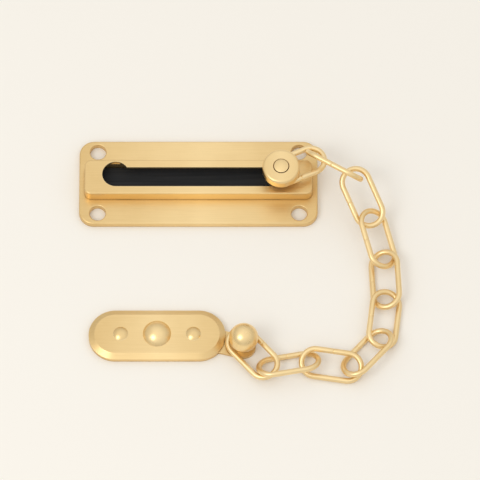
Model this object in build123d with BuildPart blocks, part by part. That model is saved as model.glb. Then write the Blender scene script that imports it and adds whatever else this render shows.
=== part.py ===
"""Door chain bolt: a slotted slide plate, a sliding knob, a ten-link chain and an anchor plate.

The bolt lies on a table as it comes out of its box. Millimetres, +Z up from the table, +X along the slot.
The origin is the middle of the slide plate's back.
"""

import os
from math import cos, radians, sin

from build123d import *

# Slide plate
plate_length = 90.0
plate_width = 34.6
plate_thickness = 2.5
plate_corner_radius = 5.5
plate_edge_round = 0.6
screw_hole_diameter = 6.0
screw_end_margin = 7.0
screw_side_margin = 4.6
screw_hole_round = 0.4

# Raised track with its slot and keyhole
track_end_margin = 2.1
track_width = 14.2
track_height = 5.1
track_wall = 1.2
track_corner_radius = 2.4
track_edge_round = 0.5
slot_width = 7.9
keyhole_diameter = 10.2
slot_margin = 11.7
tab_length = 6.0
tab_spacing = 56.0
tab_fit = 0.05
liner_thickness = 0.6
liner_fit = 0.1

# Sliding bolt
foot_diameter = 9.4
foot_clearance = 0.25
slot_clearance = 0.2
shoulder_height = 0.4
neck_diameter = 5.4
neck_gap = 5.1
head_diameter = 14.1
head_thickness = 4.4
head_edge_round = 1.1
head_under_round = 0.5
rivet_seat = 0.4
rivet_crown = 0.5

# Chain links
link_length = 24.6
link_width = 12.4
wire_diameter = 2.1
link_pitch = 16.2
table_gap = 0.02
head_gap = 0.3
track_gap = 0.31
third_link_rise = 2.2
fourth_link_rise = 2.7

# How each link lies: heading, roll about its own length, and slope along it
link_heading = [24, -30, -64, -74, -87, -97, -132, -189, -170, -228]
link_roll = [0, -67, 12, -26, 21, -15, 26, -20, 32, -11]
link_slope = [0, 0, -22, -9, 0, 0, 0, 0, 0, 0]

# Anchor plate with its backing strip and ball stud
anchor_length = 51.2
anchor_width = 20.0
anchor_thickness = 3.2
anchor_bevel_run = 2.2
anchor_bevel_rise = 1.2
rivet_spacing = 27.2
rivet_head_diameter = 5.6
rivet_head_height = 1.0
rivet_shank_diameter = 3.0
dome_diameter = 10.5
dome_height = 2.8
dome_shank_diameter = 5.0
rivet_fit = 0.05
strip_width = 9.0
strip_thickness = 1.4
strip_fit = 0.05
stud_reach = 6.8
stud_offset = 4.4
stud_neck_diameter = 5.0
stud_tail_diameter = 4.0
ball_diameter = 10.9
ball_height = 9.5
ear_gap = 0.15
stud_slack = 1.1

# Levels and places worked out from the sizes above
screw_spacing_x = plate_length - 2 * screw_end_margin
screw_spacing_y = plate_width - 2 * screw_side_margin
track_length = plate_length - 2 * track_end_margin
plate_top = plate_thickness
track_top = plate_top + track_height
track_under = track_top - track_wall
liner_top = plate_top + liner_thickness
channel_length = track_length - 2 * track_wall
channel_width = track_width - 2 * track_wall
bolt_travel = track_length - 2 * slot_margin
bolt_x = bolt_travel / 2
keyhole_x = bolt_x - bolt_travel
keyhole_lift = (keyhole_diameter - slot_width) / 2
head_under = track_top + neck_gap
head_top = head_under + head_thickness
bend_radius = (link_width - wire_diameter) / 2
side_length = link_length - link_width

os.makedirs("parts", exist_ok=True)


def save(part, name):
    """Label a finished piece and write it to its own file."""
    part.label = name
    export_step(part, f"parts/{name}.step")


def crown_radius(half_width, height):
    """Radius of the ball that a low crown of this half width and height is cut from."""
    return (half_width**2 + height**2) / (2 * height)


# Base plate: rounded plate with four screw holes and the slots for the track's tabs
tab_y = (track_width - track_wall) / 2
with BuildPart() as base_plate:
    with BuildSketch():
        RectangleRounded(plate_length, plate_width, plate_corner_radius)
        with GridLocations(screw_spacing_x, screw_spacing_y, 2, 2):
            Circle(screw_hole_diameter / 2, mode=Mode.SUBTRACT)
        with GridLocations(tab_spacing, 2 * tab_y, 2, 2):
            Rectangle(tab_length + 2 * tab_fit, track_wall + 2 * tab_fit, mode=Mode.SUBTRACT)
    extrude(amount=plate_thickness)
    fillet(base_plate.faces().sort_by(Axis.Z)[-1].outer_wire().edges(), plate_edge_round)
    hole_rims = base_plate.faces().sort_by(Axis.Z)[-1].edges().filter_by(GeomType.CIRCLE)
    fillet(hole_rims.filter_by(lambda rim: rim.is_closed), screw_hole_round)
save(base_plate.part, "base_plate")

# Track cover: pressed channel with the slot and the keyhole in its top, and tabs through the plate
with BuildPart() as track_cover:
    with BuildSketch(Plane.XY.offset(plate_top)):
        RectangleRounded(track_length, track_width, track_corner_radius)
    extrude(amount=track_height)
    fillet(track_cover.faces().sort_by(Axis.Z)[-1].edges(), track_edge_round)
    with BuildSketch(Plane.XY.offset(plate_top)):
        RectangleRounded(channel_length, channel_width, track_corner_radius - track_wall)
    extrude(amount=track_height - track_wall, mode=Mode.SUBTRACT)
    with BuildSketch(Plane.XY.offset(track_under)):
        with Locations(((keyhole_x + bolt_x) / 2, 0)):
            SlotCenterToCenter(bolt_travel, slot_width)
        with Locations((keyhole_x, keyhole_lift)):
            Circle(keyhole_diameter / 2)
    extrude(amount=track_wall, mode=Mode.SUBTRACT)
    with BuildSketch():
        with GridLocations(tab_spacing, 2 * tab_y, 2, 2):
            Rectangle(tab_length, track_wall)
    extrude(amount=plate_thickness)
save(track_cover.part, "track_cover")

# Slot liner: dark strip on the floor of the channel
with BuildPart() as slot_liner:
    with BuildSketch(Plane.XY.offset(plate_top)):
        RectangleRounded(
            channel_length - 2 * liner_fit, channel_width - 2 * liner_fit, track_corner_radius - track_wall
        )
    extrude(amount=liner_thickness)
save(slot_liner.part, "slot_liner")

# Knob stud: foot under the slot, collar in it, neck for the first link, and a crowned end in the head
foot_bottom = liner_top + foot_clearance
foot_top = track_under - foot_clearance
collar_radius = slot_width / 2 - slot_clearance
collar_top = track_top + shoulder_height
with BuildPart() as knob_stud:
    with BuildSketch(Plane.XZ):
        with BuildLine():
            foot = Polyline(
                (bolt_x, head_top + rivet_crown),
                (bolt_x, foot_bottom),
                (bolt_x + foot_diameter / 2, foot_bottom),
                (bolt_x + foot_diameter / 2, foot_top),
                (bolt_x + collar_radius, foot_top),
                (bolt_x + collar_radius, collar_top),
                (bolt_x + neck_diameter / 2, collar_top),
                (bolt_x + neck_diameter / 2, head_top),
            )
            RadiusArc(foot @ 1, foot @ 0, -crown_radius(neck_diameter / 2, rivet_crown))
        make_face()
    revolve(axis=Axis((bolt_x, 0, 0), (0, 0, 1)))
save(knob_stud.part, "knob_stud")

# Knob head: thick round button riveted on the stud
with BuildPart() as knob_head:
    with BuildSketch(Plane.XY.offset(head_under)):
        with Locations((bolt_x, 0)):
            Circle(head_diameter / 2)
    extrude(amount=head_thickness)
    fillet(knob_head.edges().group_by(Axis.Z)[-1], head_edge_round)
    fillet(knob_head.edges().group_by(Axis.Z)[0], head_under_round)
    with BuildSketch(Plane.XY.offset(head_under)):
        with Locations((bolt_x, 0)):
            Circle(neck_diameter / 2)
    extrude(amount=head_thickness, mode=Mode.SUBTRACT)
    chamfer(knob_head.faces().sort_by(Axis.Z)[-1].inner_wires()[0].edges(), rivet_seat)
save(knob_head.part, "knob_head")

# Chain links: each is a bent ring through its neighbours, turned about the middle of their overlap
link_count = len(link_heading)
pivot = Vector(bolt_x, 0, 0)
edge_rise = [bend_radius * abs(sin(radians(roll))) + wire_diameter / 2 for roll in link_roll]
link_rise = [table_gap + rise for rise in edge_rise]
link_rise[0] = head_under - head_gap - edge_rise[0]
link_rise[1] = track_top + track_gap + edge_rise[1]
link_rise[2] = track_top + third_link_rise
link_rise[3] = plate_top + fourth_link_rise
link_rise[-1] = strip_thickness + ear_gap + edge_rise[-1]
for index in range(link_count):
    heading = radians(link_heading[index])
    slope = radians(link_slope[index])
    roll = radians(link_roll[index])
    forward = Vector(cos(heading), sin(heading), 0)
    before = side_length / 2 if index == 0 else link_pitch / 2
    after = side_length / 2 - stud_slack if index == link_count - 1 else link_pitch / 2
    center = pivot + forward * before + Vector(0, 0, link_rise[index])
    along = forward * cos(slope) + Vector(0, 0, sin(slope))
    level = Vector(-sin(heading), cos(heading), 0)
    across = level * cos(roll) + along.cross(level) * sin(roll)
    link_plane = Plane(origin=center, x_dir=along, z_dir=along.cross(across))
    pivot = pivot + forward * (before + after)
    with BuildPart() as link:
        with BuildLine(link_plane) as ring:
            near_side = Line((-side_length / 2, -bend_radius), (side_length / 2, -bend_radius))
            far_bend = TangentArc(near_side @ 1, (side_length / 2, bend_radius), tangent=near_side % 1)
            top_side = Line(far_bend @ 1, (-side_length / 2, bend_radius))
            TangentArc(top_side @ 1, near_side @ 0, tangent=top_side % 1)
        with BuildSketch(Plane(origin=ring.line @ 0, z_dir=ring.line % 0)):
            Circle(wire_diameter / 2)
        sweep()
    save(link.part, f"link_{index + 1:02d}")

# Places of the anchor's pieces, taken from the chain's last pivot
stud_x = pivot.X
stud_y = pivot.Y
anchor_x = stud_x - stud_reach - anchor_length / 2
anchor_y = stud_y + stud_offset
rivet_x = {"left": anchor_x - rivet_spacing / 2, "right": anchor_x + rivet_spacing / 2}
ear_line = Vector(stud_x - rivet_x["right"], stud_y - anchor_y)
ear_middle = Vector(rivet_x["right"], anchor_y) + ear_line / 2

# Backing strip's outline: a straight run under the plate and an ear that reaches the ball stud
with BuildSketch() as strip_outline:
    with Locations((anchor_x, anchor_y)):
        SlotCenterToCenter(rivet_spacing, strip_width)
    with Locations(Location(ear_middle, ear_line.get_signed_angle(Vector(1, 0)))):
        SlotCenterToCenter(ear_line.length, strip_width)

# Rivet holes, shared by the plate and the strip
with BuildSketch() as rivet_holes:
    with Locations((rivet_x["left"], anchor_y), (rivet_x["right"], anchor_y)):
        Circle(rivet_shank_diameter / 2 + rivet_fit)
    with Locations((anchor_x, anchor_y)):
        Circle(dome_shank_diameter / 2 + rivet_fit)

# Anchor plate: round-ended plate with a bevelled rim, its back recessed for the strip
with BuildPart() as anchor_plate:
    with BuildSketch():
        with Locations((anchor_x, anchor_y)):
            SlotOverall(anchor_length, anchor_width)
    extrude(amount=anchor_thickness)
    chamfer(anchor_plate.faces().sort_by(Axis.Z)[-1].edges(), anchor_bevel_rise, anchor_bevel_run)
    with BuildSketch():
        offset(strip_outline.sketch, strip_fit)
    extrude(amount=strip_thickness + strip_fit, mode=Mode.SUBTRACT)
    with BuildSketch():
        add(rivet_holes.sketch)
    extrude(amount=anchor_thickness, mode=Mode.SUBTRACT)
save(anchor_plate.part, "anchor_plate")

# Backing strip: flush in the plate's back, with the ear beyond the plate's end
with BuildPart() as anchor_strip:
    with BuildSketch():
        add(strip_outline.sketch)
        add(rivet_holes.sketch, mode=Mode.SUBTRACT)
        with Locations((stud_x, stud_y)):
            Circle(stud_tail_diameter / 2 + rivet_fit, mode=Mode.SUBTRACT)
    extrude(amount=strip_thickness)
save(anchor_strip.part, "anchor_strip")

# Rivets: two small round heads and the large dome between them, their tails flush with the back
rivets = {
    "rivet_left": (rivet_x["left"], rivet_head_diameter, rivet_head_height, rivet_shank_diameter),
    "rivet_right": (rivet_x["right"], rivet_head_diameter, rivet_head_height, rivet_shank_diameter),
    "dome_rivet": (anchor_x, dome_diameter, dome_height, dome_shank_diameter),
}
for name, (center_x, diameter, height, shank_diameter) in rivets.items():
    with BuildPart() as rivet:
        with BuildSketch(Plane.XZ.offset(-anchor_y)):
            with BuildLine():
                shank = Polyline(
                    (center_x, anchor_thickness + height),
                    (center_x, 0),
                    (center_x + shank_diameter / 2, 0),
                    (center_x + shank_diameter / 2, anchor_thickness),
                    (center_x + diameter / 2, anchor_thickness),
                )
                RadiusArc(shank @ 1, shank @ 0, -crown_radius(diameter / 2, height))
            make_face()
        revolve(axis=Axis((center_x, anchor_y, 0), (0, 0, 1)))
    save(rivet.part, name)

# Ball stud: tail riveted in the ear, neck for the last link, and the ball
ball_radius = ball_diameter / 2
neck_radius = stud_neck_diameter / 2
ball_foot = ball_height - (ball_radius**2 - neck_radius**2) ** 0.5
with BuildPart() as ball_stud:
    with BuildSketch(Plane.XZ.offset(-stud_y)):
        with BuildLine():
            stem = Polyline(
                (stud_x, ball_height + ball_radius),
                (stud_x, 0),
                (stud_x + stud_tail_diameter / 2, 0),
                (stud_x + stud_tail_diameter / 2, strip_thickness),
                (stud_x + neck_radius, strip_thickness),
                (stud_x + neck_radius, ball_foot),
            )
            ThreePointArc(stem @ 1, (stud_x + ball_radius, ball_height), stem @ 0)
        make_face()
    revolve(axis=Axis((stud_x, stud_y, 0), (0, 0, 1)))
save(ball_stud.part, "ball_stud")
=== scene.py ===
import math

import bpy
import numpy as np
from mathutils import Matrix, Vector


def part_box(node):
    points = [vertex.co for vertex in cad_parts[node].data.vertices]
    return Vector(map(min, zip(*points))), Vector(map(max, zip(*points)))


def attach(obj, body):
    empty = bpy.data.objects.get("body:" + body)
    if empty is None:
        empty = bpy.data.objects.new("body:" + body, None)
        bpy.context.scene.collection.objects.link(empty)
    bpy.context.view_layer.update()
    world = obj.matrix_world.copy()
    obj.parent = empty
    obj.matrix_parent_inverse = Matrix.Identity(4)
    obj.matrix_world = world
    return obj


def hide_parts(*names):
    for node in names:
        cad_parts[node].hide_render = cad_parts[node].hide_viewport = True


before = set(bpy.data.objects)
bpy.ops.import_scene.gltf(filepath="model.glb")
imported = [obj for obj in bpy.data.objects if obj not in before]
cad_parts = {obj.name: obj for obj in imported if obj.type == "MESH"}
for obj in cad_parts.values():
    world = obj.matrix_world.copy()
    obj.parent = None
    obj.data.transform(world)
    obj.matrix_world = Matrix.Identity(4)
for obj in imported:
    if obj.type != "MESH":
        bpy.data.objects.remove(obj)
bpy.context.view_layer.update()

MM = 0.001

# View: the photograph's square frame, looking down on the table from the front
ELEVATION = math.radians(65.0)
LENS_MM = 500.0
SENSOR_MM = 36.0
VIEW_WIDTH = 0.1808
AIM = Vector((0.0157, -0.0228, 0.0))
CLIP_END = 10.0

# Floor, a hair under the table plane so that no piece shares a face with it
FLOOR_SIZE = 6.0
FLOOR_DROP = 0.03 * MM
FLOOR_ROUGHNESS = 0.95
FLOOR_SPECULAR = 0.1

# Light: a soft room, darkest at the horizon and full from this height up, and a lamp at the front left
ROOM_COLOUR = (1.0, 0.992, 0.98, 1.0)
ROOM_HORIZON, ROOM_ABOVE = 0.55, 1.0
ROOM_HEIGHT = 0.9
KEY_PLACE = Vector((-0.45, -0.40, 0.75))
KEY_SIZE = 0.40
KEY_POWER = 1.5

# Colours, linear
CREAM = (0.932, 0.895, 0.823, 1.0)
BRASS_LIGHT = (0.960, 0.730, 0.380, 1.0)
BRASS_DARK = (0.765, 0.535, 0.236, 1.0)
BRASS_RUBBED = (0.985, 0.800, 0.480, 1.0)
PLATE_TONES = (BRASS_DARK, BRASS_LIGHT)
CHAIN_TONES = ((0.890, 0.660, 0.330, 1.0), (0.970, 0.755, 0.415, 1.0))
# Painted shade for tight corners, tinted a tarnish brown
CORNER_SHADE = (0.330, 0.190, 0.065, 1.0)
# Painted shade: the black of the slot liner, a strip that stands in for the dark depth of the slot
SLOT_SHADE_DARK = (0.008, 0.009, 0.010, 1.0)
SLOT_SHADE_STREAK = (0.016, 0.017, 0.019, 1.0)

# Noises: scale per metre, detail, and stretch along X, Y and Z; nearly all values lie from low to high
EVEN = (1.0, 1.0, 1.0)
CLOUDS = (60.0, 4.0, EVEN)
BRUSHED = (3000.0, 5.0, (0.03, 1.0, 1.0))
DRAWN = (1800.0, 5.0, EVEN)
POLISHED = (350.0, 2.0, EVEN)
STREAKS = (900.0, 3.0, (0.04, 1.0, 1.0))
NOISE_LOW, NOISE_HIGH = 0.3, 0.7

# Turning marks: a ring's width, its unevenness, and Blender's own factor in its wave texture
RING = 0.22 * MM
RING_DISTORTION = 1.2
RING_DETAIL = 3.0
WAVE_FACTOR = 20.0

# Brass: what clouds, a painted sheen near the middle and marks add to its tone, roughness and height
CLOUD_SHARE = 0.25
SHEEN_SHARE = 0.80
MARK_SHARE = 0.12
MARK_SMOOTHER, MARK_ROUGHER = 0.05, 0.06
MARK_HEIGHT = 0.05 * MM

# How far the painted highlight, lighter at the middle, reaches on the knob and the ball
SHEEN_REACH = 12.0 * MM

# Brass: painted shade, tinted a tarnish brown, where pieces close by hide the sky, and edges rubbed
# bright and smooth
SHADE_REACH = 1.1 * MM
SHADE_SAMPLES = 8
SKY_SHADED, SKY_UNSHADED = 0.30, 0.80
EDGE_WIDTH = 0.35 * MM
EDGE_SAMPLES = 6
EDGE_BENT, EDGE_FLAT = 0.80, 0.99
RUBBED_SHARE = 0.7
RUBBED_POLISH = 0.10

# Slot liner, a black strip that paints the shade deep in the slot: roughness where it is dark and where
# it is streaked lighter
LINER_ROUGH, LINER_SMOOTH = 0.75, 0.60
LINER_SPECULAR = 0.3

# Sockets of Blender's Mix node when it mixes colours
MIX_LOW, MIX_HIGH, MIX_RESULT = 6, 7, 2

# Mesh of a link: steps along each bend and side, and points round the wire
BEND_STEPS = 28
SIDE_STEPS = 10
ROUND_STEPS = 28

# Filed butt joint of a link: half its width, its depth, and the reach kept free of the side's own steps
JOINT_STEPS = 8
JOINT_HALF = 0.24 * MM
JOINT_DEPTH = 0.15 * MM
JOINT_CLEAR = 0.54 * MM


class Graph:
    """A node material under construction."""

    def __init__(self, name):
        self.material = bpy.data.materials.new(name)
        self.material.use_nodes = True
        self.tree = self.material.node_tree
        self.shader = self.tree.nodes["Principled BSDF"]
        self.place = self.add("TexCoord").outputs["Object"]

    def add(self, kind, settings=None, **inputs):
        node = self.tree.nodes.new("ShaderNode" + kind)
        for key, value in (settings or {}).items():
            setattr(node, key, value)
        for key, value in inputs.items():
            self.put(node.inputs[key.replace("_", " ")], value)
        return node

    def put(self, socket, value):
        if isinstance(value, bpy.types.NodeSocket):
            self.tree.links.new(value, socket)
        else:
            socket.default_value = value

    def calc(self, operation, *values):
        node = self.add("Math", {"operation": operation})
        for socket, value in zip(node.inputs, values):
            self.put(socket, value)
        return node.outputs["Value"]

    def noise(self, scale, detail, stretch):
        vector = self.add("Mapping", Vector=self.place, Scale=stretch).outputs["Vector"]
        return self.add("TexNoise", Vector=vector, Scale=scale, Detail=detail).outputs["Fac"]

    def span(self, value, low, high, to_low, to_high):
        node = self.add("MapRange", Value=value, From_Min=low, From_Max=high)
        self.put(node.inputs["To Min"], to_low)
        self.put(node.inputs["To Max"], to_high)
        return node.outputs["Result"]

    def spread(self, noise, to_low, to_high):
        """A noise's values, spread over the range that is asked for."""
        return self.span(noise, NOISE_LOW, NOISE_HIGH, to_low, to_high)

    def blend(self, amount, low, high):
        node = self.add("Mix", {"data_type": "RGBA"})
        self.put(node.inputs["Factor"], amount)
        self.put(node.inputs[MIX_LOW], low)
        self.put(node.inputs[MIX_HIGH], high)
        return node.outputs[MIX_RESULT]

    def nearness(self, middle, reach):
        """One at the middle, falling to nothing at the reach to its left and right."""
        along = self.add("SeparateXYZ", Vector=self.place).outputs["X"]
        away = self.calc("ABSOLUTE", self.calc("SUBTRACT", along, middle))
        return self.span(away, 0.0, reach, 1.0, 0.0)

    def edges(self):
        """One on the edges, nothing on the faces between them."""
        rounded = self.add("Bevel", {"samples": EDGE_SAMPLES}, Radius=EDGE_WIDTH).outputs["Normal"]
        agreement = self.add("VectorMath", {"operation": "DOT_PRODUCT"})
        self.put(agreement.inputs[0], rounded)
        self.put(agreement.inputs[1], self.add("NewGeometry").outputs["Normal"])
        return self.span(agreement.outputs["Value"], EDGE_BENT, EDGE_FLAT, 1.0, 0.0)

    def clean(self):
        """One on open faces, falling to nothing in tight corners where pieces close by hide the sky;
        the mask of the painted shade.
        """
        settings = {"samples": SHADE_SAMPLES}
        open_sky = self.add("AmbientOcclusion", settings, Distance=SHADE_REACH).outputs["AO"]
        return self.span(open_sky, SKY_SHADED, SKY_UNSHADED, 0.0, 1.0)

    def turning(self, axis):
        """Fine rings round an upright axis, as a lathe leaves them."""
        shift = (-axis.x, -axis.y, 0.0)
        vector = self.add("Mapping", Vector=self.place, Location=shift).outputs["Vector"]
        node = self.add("TexWave", {"wave_type": "RINGS", "rings_direction": "Z"}, Vector=vector)
        self.put(node.inputs["Scale"], 2 * math.pi / WAVE_FACTOR / RING)
        self.put(node.inputs["Distortion"], RING_DISTORTION)
        self.put(node.inputs["Detail"], RING_DETAIL)
        return node.outputs["Fac"]


def noise_marks(noise):
    """Adds the marks of one of the noises to a material."""
    return lambda graph: graph.noise(*noise)


def lathe_marks(name):
    """Adds turning marks round a piece's upright axis to a material."""
    low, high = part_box(name)
    return lambda graph: graph.turning((low + high) / 2)


def painted_sheen_place(name, reach=None):
    """Where the painted sheen on a piece is lightest along X, and how far from there it is darkest,
    else at its ends.
    """
    low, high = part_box(name)
    return (low.x + high.x) / 2, reach or (high.x - low.x) / 2


def brass(name, add_marks, roughness, bump, painted_sheen=None, tones=PLATE_TONES, shade_and_wear=True):
    """Satin brass with the marks of its making, a painted sheen along X where asked, painted shade in
    tight corners, and edges rubbed where it is worn.
    """
    graph = Graph(name)
    tone = graph.spread(graph.noise(*CLOUDS), 0.0, 1.0)
    if painted_sheen:
        clouds = graph.calc("MULTIPLY", tone, CLOUD_SHARE)
        # Painted sheen: the tone is lightened near the middle along X and falls off towards the ends,
        # standing in for a soft reflection
        middle = graph.calc("MULTIPLY", graph.nearness(*painted_sheen), SHEEN_SHARE)
        tone = graph.calc("ADD", clouds, middle)
    marks = add_marks(graph)
    tone = graph.calc("ADD", tone, graph.spread(marks, -MARK_SHARE, MARK_SHARE))
    colour = graph.blend(tone, *tones)
    rough = graph.spread(marks, roughness - MARK_SMOOTHER, roughness + MARK_ROUGHER)
    if shade_and_wear:
        # Painted shade: the colour darkens towards a tarnish brown where pieces close by hide the sky;
        # edges are rubbed bright only where it is open
        clean = graph.clean()
        rubbed = graph.calc("MULTIPLY", graph.edges(), graph.calc("MULTIPLY", clean, RUBBED_SHARE))
        corner_shaded = graph.blend(clean, CORNER_SHADE, colour)
        colour = graph.blend(rubbed, corner_shaded, BRASS_RUBBED)
        rough = graph.calc("SUBTRACT", rough, graph.calc("MULTIPLY", rubbed, RUBBED_POLISH))
    graph.put(graph.shader.inputs["Base Color"], colour)
    graph.put(graph.shader.inputs["Roughness"], rough)
    relief = graph.add("Bump", Strength=bump, Distance=MARK_HEIGHT, Height=marks)
    graph.put(graph.shader.inputs["Normal"], relief.outputs["Normal"])
    graph.shader.inputs["Metallic"].default_value = 1.0
    return graph.material


def slot_shade_material():
    """Matt black strip that paints the shade deep in the slot, a little lighter in streaks along it."""
    graph = Graph("slot_shade_black")
    streaks = graph.spread(graph.noise(*STREAKS), 0.0, 1.0)
    graph.put(graph.shader.inputs["Base Color"], graph.blend(streaks, SLOT_SHADE_DARK, SLOT_SHADE_STREAK))
    rough = graph.span(streaks, 0.0, 1.0, LINER_ROUGH, LINER_SMOOTH)
    graph.put(graph.shader.inputs["Roughness"], rough)
    graph.shader.inputs["Specular IOR Level"].default_value = LINER_SPECULAR
    return graph.material


def assign(material, *names):
    """Gives CAD nodes this material alone."""
    for name in names:
        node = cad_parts[name]
        node.data.materials.clear()
        node.data.materials.append(material)


def own_axes(mesh):
    """A surface's middle, its axes from the longest to the shortest, and its extents along them."""
    mesh.calc_loop_triangles()
    points = np.array([vertex.co for vertex in mesh.vertices], float)
    corners = points[np.array([triangle.vertices for triangle in mesh.loop_triangles])]
    first, second, third = corners.transpose(1, 0, 2)
    areas = np.linalg.norm(np.cross(second - first, third - first), axis=1)
    middle = np.average(corners.mean(axis=1), axis=0, weights=areas)
    # A triangle's second moments follow from its corners and their sum, so its size has no say
    arms = corners - middle
    sums = arms.sum(axis=1)
    moments = np.einsum("t,tci,tcj->ij", areas, arms, arms)
    moments += np.einsum("t,ti,tj->ij", areas, sums, sums)
    axes = np.linalg.eigh(moments)[1].T[::-1]
    return middle, axes, np.ptp(points @ axes.T, axis=0)


def groove(x):
    """Depth of the butt joint's groove at a place along the wire, counted from its middle."""
    return JOINT_DEPTH * max(0.0, 1.0 - abs(x) / JOINT_HALF) ** 2


def half_turn(center, start, bend, radius):
    """One bend of a link: place, direction and wire radius at each step."""
    path = []
    for step in range(BEND_STEPS):
        turn = start + math.pi * step / BEND_STEPS
        x, y = math.cos(turn), math.sin(turn)
        path.append(((center + bend * x, bend * y), (-y, x), radius))
    return path


def link_path(length, width, wire):
    """A link's middle line in its own plane: place, direction and wire radius at each step round it."""
    radius = wire / 2
    bend = (width - wire) / 2
    half_side = (length - width) / 2
    side = [half_side * (2 * step / SIDE_STEPS - 1) for step in range(SIDE_STEPS)]
    joint = [JOINT_HALF * (2 * step / JOINT_STEPS - 1) for step in range(JOINT_STEPS + 1)]
    jointed = sorted([x for x in side if abs(x) > JOINT_CLEAR] + joint)
    path = [((x, -bend), (1.0, 0.0), radius - groove(x)) for x in jointed]
    path += half_turn(half_side, -math.pi / 2, bend, radius)
    path += [((-x, bend), (-1.0, 0.0), radius) for x in side]
    path += half_turn(-half_side, math.pi / 2, bend, radius)
    return path


def link_piece(name, material):
    """A wire link in its solid's place: a closed tube with the butt joint in its inner side."""
    middle, (along, across, _), extents = own_axes(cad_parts[name].data)
    away_from_aim = middle[:2] - np.array(AIM)[:2]
    if np.dot(across[:2], away_from_aim) < 0:
        across = -across
    normal = np.cross(along, across)
    path = link_path(*extents)
    vertices = []
    for (x, y), (run, rise), radius in path:
        center = middle + along * x + across * y
        outward = along * rise - across * run
        for step in range(ROUND_STEPS):
            turn = 2 * math.pi * step / ROUND_STEPS
            vertices.append(center + radius * (outward * math.cos(turn) + normal * math.sin(turn)))
    faces = []
    for ring in range(len(path)):
        here = ring * ROUND_STEPS
        there = (ring + 1) % len(path) * ROUND_STEPS
        for step in range(ROUND_STEPS):
            after = (step + 1) % ROUND_STEPS
            faces.append((here + step, there + step, there + after, here + after))
    mesh = bpy.data.meshes.new(name + "_wire")
    mesh.from_pydata([tuple(vertex) for vertex in vertices], [], faces)
    mesh.polygons.foreach_set("use_smooth", [True] * len(mesh.polygons))
    mesh.materials.append(material)
    piece = bpy.data.objects.new(name + "_wire", mesh)
    bpy.context.scene.collection.objects.link(piece)
    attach(piece, name)
    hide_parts(name)


def chain(material):
    """Every link, laid as its solid is."""
    for name in sorted(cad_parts):
        if name.startswith("link_"):
            link_piece(name, material)


def pale_stage():
    """Cream floor that keeps the object's shadow."""
    bpy.ops.mesh.primitive_plane_add(size=FLOOR_SIZE, location=(0.0, 0.0, -FLOOR_DROP))
    floor = bpy.context.object
    floor.name = "floor"
    graph = Graph("floor_cream")
    graph.shader.inputs["Base Color"].default_value = CREAM
    graph.shader.inputs["Roughness"].default_value = FLOOR_ROUGHNESS
    graph.shader.inputs["Specular IOR Level"].default_value = FLOOR_SPECULAR
    floor.data.materials.append(graph.material)


def key_lamp():
    """Large soft lamp, turned to the object."""
    data = bpy.data.lights.new("key", "AREA")
    data.size = KEY_SIZE
    data.energy = KEY_POWER
    lamp = bpy.data.objects.new("key", data)
    bpy.context.scene.collection.objects.link(lamp)
    lamp.location = KEY_PLACE
    lamp.rotation_euler = (AIM - KEY_PLACE).to_track_quat("-Z", "Y").to_euler()


def studio():
    """Soft white room, darker towards the horizon, with the key lamp."""
    world = bpy.data.worlds.new("studio")
    bpy.context.scene.world = world
    world.use_nodes = True
    nodes, links = world.node_tree.nodes, world.node_tree.links
    background = nodes["Background"]
    background.inputs["Color"].default_value = ROOM_COLOUR
    split = nodes.new("ShaderNodeSeparateXYZ")
    links.new(nodes.new("ShaderNodeTexCoord").outputs["Generated"], split.inputs["Vector"])
    rise = nodes.new("ShaderNodeMapRange")
    rise.inputs["From Min"].default_value = 0.0
    rise.inputs["From Max"].default_value = ROOM_HEIGHT
    rise.inputs["To Min"].default_value = ROOM_HORIZON
    rise.inputs["To Max"].default_value = ROOM_ABOVE
    links.new(split.outputs["Z"], rise.inputs["Value"])
    links.new(rise.outputs["Result"], background.inputs["Strength"])
    key_lamp()
    bpy.context.scene.view_settings.view_transform = "Standard"


def camera():
    """Long lens at the photograph's angle, far enough off to show its frame."""
    data = bpy.data.cameras.new("camera")
    data.lens = LENS_MM
    data.sensor_width = SENSOR_MM
    data.clip_end = CLIP_END
    distance = VIEW_WIDTH * LENS_MM / SENSOR_MM
    view = bpy.data.objects.new("camera", data)
    bpy.context.scene.collection.objects.link(view)
    view.location = AIM + distance * Vector((0.0, -math.cos(ELEVATION), math.sin(ELEVATION)))
    view.rotation_euler = (math.pi / 2 - ELEVATION, 0.0, 0.0)
    bpy.context.scene.camera = view


camera()

# Where the painted sheen is lightest on each piece, and how far it reaches
plate_sheen = painted_sheen_place("base_plate")
anchor_sheen = painted_sheen_place("anchor_plate")
knob_sheen = painted_sheen_place("knob_head", SHEEN_REACH)
ball_sheen = painted_sheen_place("ball_stud", SHEEN_REACH)
brushed = noise_marks(BRUSHED)
polished = noise_marks(POLISHED)
turned = lathe_marks("knob_head")
drawn = noise_marks(DRAWN)

plate_brass = brass("plate_brass", brushed, roughness=0.40, bump=0.25, painted_sheen=plate_sheen)
anchor_brass = brass("anchor_brass", brushed, roughness=0.40, bump=0.25, painted_sheen=anchor_sheen)
rivet_brass = brass("rivet_brass", polished, roughness=0.33, bump=0.05, painted_sheen=anchor_sheen)
# The knob and the ball get a painted highlight at their middle along X
knob_brass = brass("knob_brass", turned, roughness=0.36, bump=0.05, painted_sheen=knob_sheen)
ball_brass = brass("ball_brass", polished, roughness=0.30, bump=0.03, painted_sheen=ball_sheen)
chain_brass = brass("chain_brass", drawn, roughness=0.36, bump=0.03, tones=CHAIN_TONES, shade_and_wear=False)

assign(plate_brass, "base_plate", "track_cover")
assign(anchor_brass, "anchor_plate", "anchor_strip")
assign(rivet_brass, "dome_rivet", "rivet_left", "rivet_right")
assign(knob_brass, "knob_head", "knob_stud")
assign(ball_brass, "ball_stud")
# The black liner paints the shade deep in the slot
assign(slot_shade_material(), "slot_liner")
chain(chain_brass)
pale_stage()
studio()
